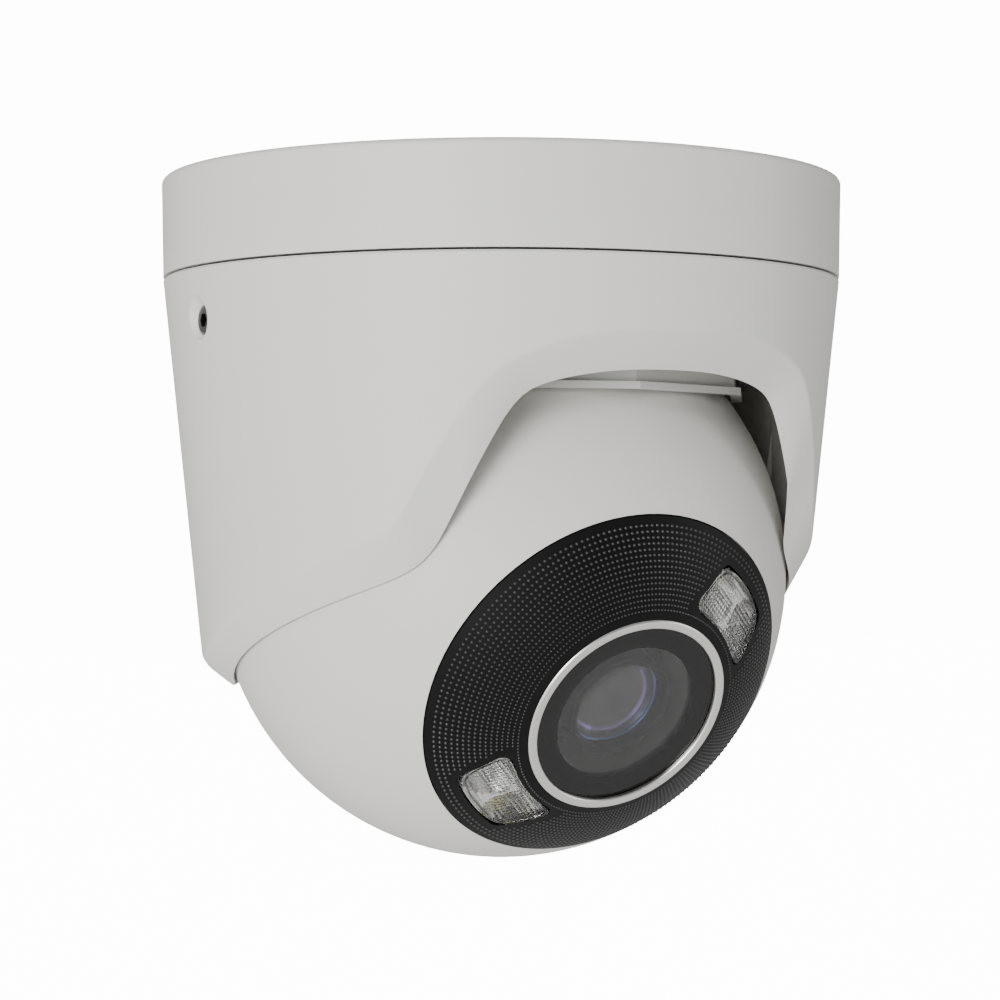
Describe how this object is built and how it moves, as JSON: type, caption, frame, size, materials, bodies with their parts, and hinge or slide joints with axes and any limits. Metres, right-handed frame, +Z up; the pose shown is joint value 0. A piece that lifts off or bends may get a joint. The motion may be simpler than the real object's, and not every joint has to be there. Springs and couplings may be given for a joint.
{
  "type": "dome cctv camera",
  "caption": "Ceiling camera: round base, tapered turret with a scooped opening, and a ball with a black lens face that pans, tilts and rolls.",
  "frame": {"origin": "centre of the flat ceiling face of the mounting base, which is also the centre of its bolt circle", "axes": "+Z up into the ceiling along the pan axis, -Y the way the lens and the opening face, X along the tilt axis"},
  "size_m": [0.11, 0.11, 0.1093],
  "materials": {
    "white_housing": "matte",
    "grey_frame": "matte",
    "cast_aluminium": "matte",
    "black_face": "satin",
    "black_rubber": "matte",
    "grey_foam": "matte",
    "satin_metal": "satin",
    "steel": "satin",
    "brass_post": "satin",
    "clear_glass": "gloss",
    "clear_plastic": "gloss",
    "coated_glass": "gloss",
    "filter_glass": "gloss",
    "reflector": "polished",
    "circuit_board": "satin",
    "led_body": "gloss",
    "ir_led_body": "gloss",
    "chip": "matte",
    "sensor": "gloss",
    "thermal": "matte",
    "friction_plastic": "satin",
    "copper_coil": "satin"
  },
  "bodies": {
    "base": {"mounting_base": "white_housing", "ceiling_gasket": "grey_foam", "pan_retainer": "steel", "pan_friction_washer": "friction_plastic", "pan_retainer_screws": "steel"},
    "turret": {"turret_chassis": "grey_frame", "cover_shell": "white_housing", "seam_seal": "black_rubber", "cover_lock_screws": "steel"},
    "cradle": {"tilt_cradle": "grey_frame", "trunnion_pins": "steel"},
    "filter": {"ir_cut_frame": "black_face", "ir_filter_glass": "filter_glass", "clear_filter_glass": "clear_glass"},
    "button": {"reset_button": "black_face"},
    "ball": {"bezel_gasket": "black_rubber", "board_screws": "steel", "board_standoffs": "brass_post", "cable_gland": "black_face", "cradle_retainer": "friction_plastic", "cradle_retainer_screws": "steel", "front_shell": "white_housing", "gland_nut": "black_face", "hatch_screws": "steel", "hatch_seal": "black_rubber", "heat_spreader": "cast_aluminium", "image_sensor": "sensor", "infrared_leds": "ir_led_body", "ir_cut_coil": "copper_coil", "led_board": "circuit_board", "led_board_screws": "steel", "led_reflector_lower": "reflector", "led_reflector_upper": "reflector", "led_window_lower": "clear_plastic", "led_window_upper": "clear_plastic", "lens_barrel": "black_face", "lens_bezel": "black_face", "lens_front_element": "coated_glass", "lens_holder": "black_face", "lens_lock_ring": "black_face", "lens_rear_element": "clear_glass", "light_baffle": "black_rubber", "main_board": "circuit_board", "processor": "chip", "rear_housing": "cast_aluminium", "reset_switch": "black_face", "sd_card_socket": "steel", "sensor_board": "circuit_board", "sensor_board_screws": "steel", "sensor_standoffs": "brass_post", "service_hatch": "white_housing", "shell_screws": "steel", "shell_seal": "black_rubber", "thermal_pad": "thermal", "white_leds": "led_body", "window_glass": "clear_glass", "window_ring": "satin_metal", "window_seal": "black_rubber"}
  },
  "joints": [
    {"name": "turret_pan", "type": "hinge", "parent": "base", "child": "turret", "pos_m": [0, 0, -0.0093], "axis": [0, 0, 1], "range_deg": [-175, 175]},
    {"name": "ball_tilt", "type": "hinge", "parent": "turret", "child": "cradle", "pos_m": [0, 0, -0.06315], "axis": [1, 0, 0], "range_deg": [-17.5, 60.5]},
    {"name": "ball_roll", "type": "hinge", "parent": "cradle", "child": "ball", "pos_m": [0, 0, -0.06315], "axis": [0, -0.8704, -0.4924], "range_deg": [-175, 175]},
    {"name": "ir_filter_shift", "type": "slide", "parent": "ball", "child": "filter", "axis": [1, 0, 0], "range_m": [0, 0.0064]},
    {"name": "reset_button_press", "type": "slide", "parent": "ball", "child": "button", "axis": [0, -0.4924, 0.8704], "range_m": [0, 0.0005], "stiffness_N_per_m": 800, "springref_m": -0.0005}
  ]
}
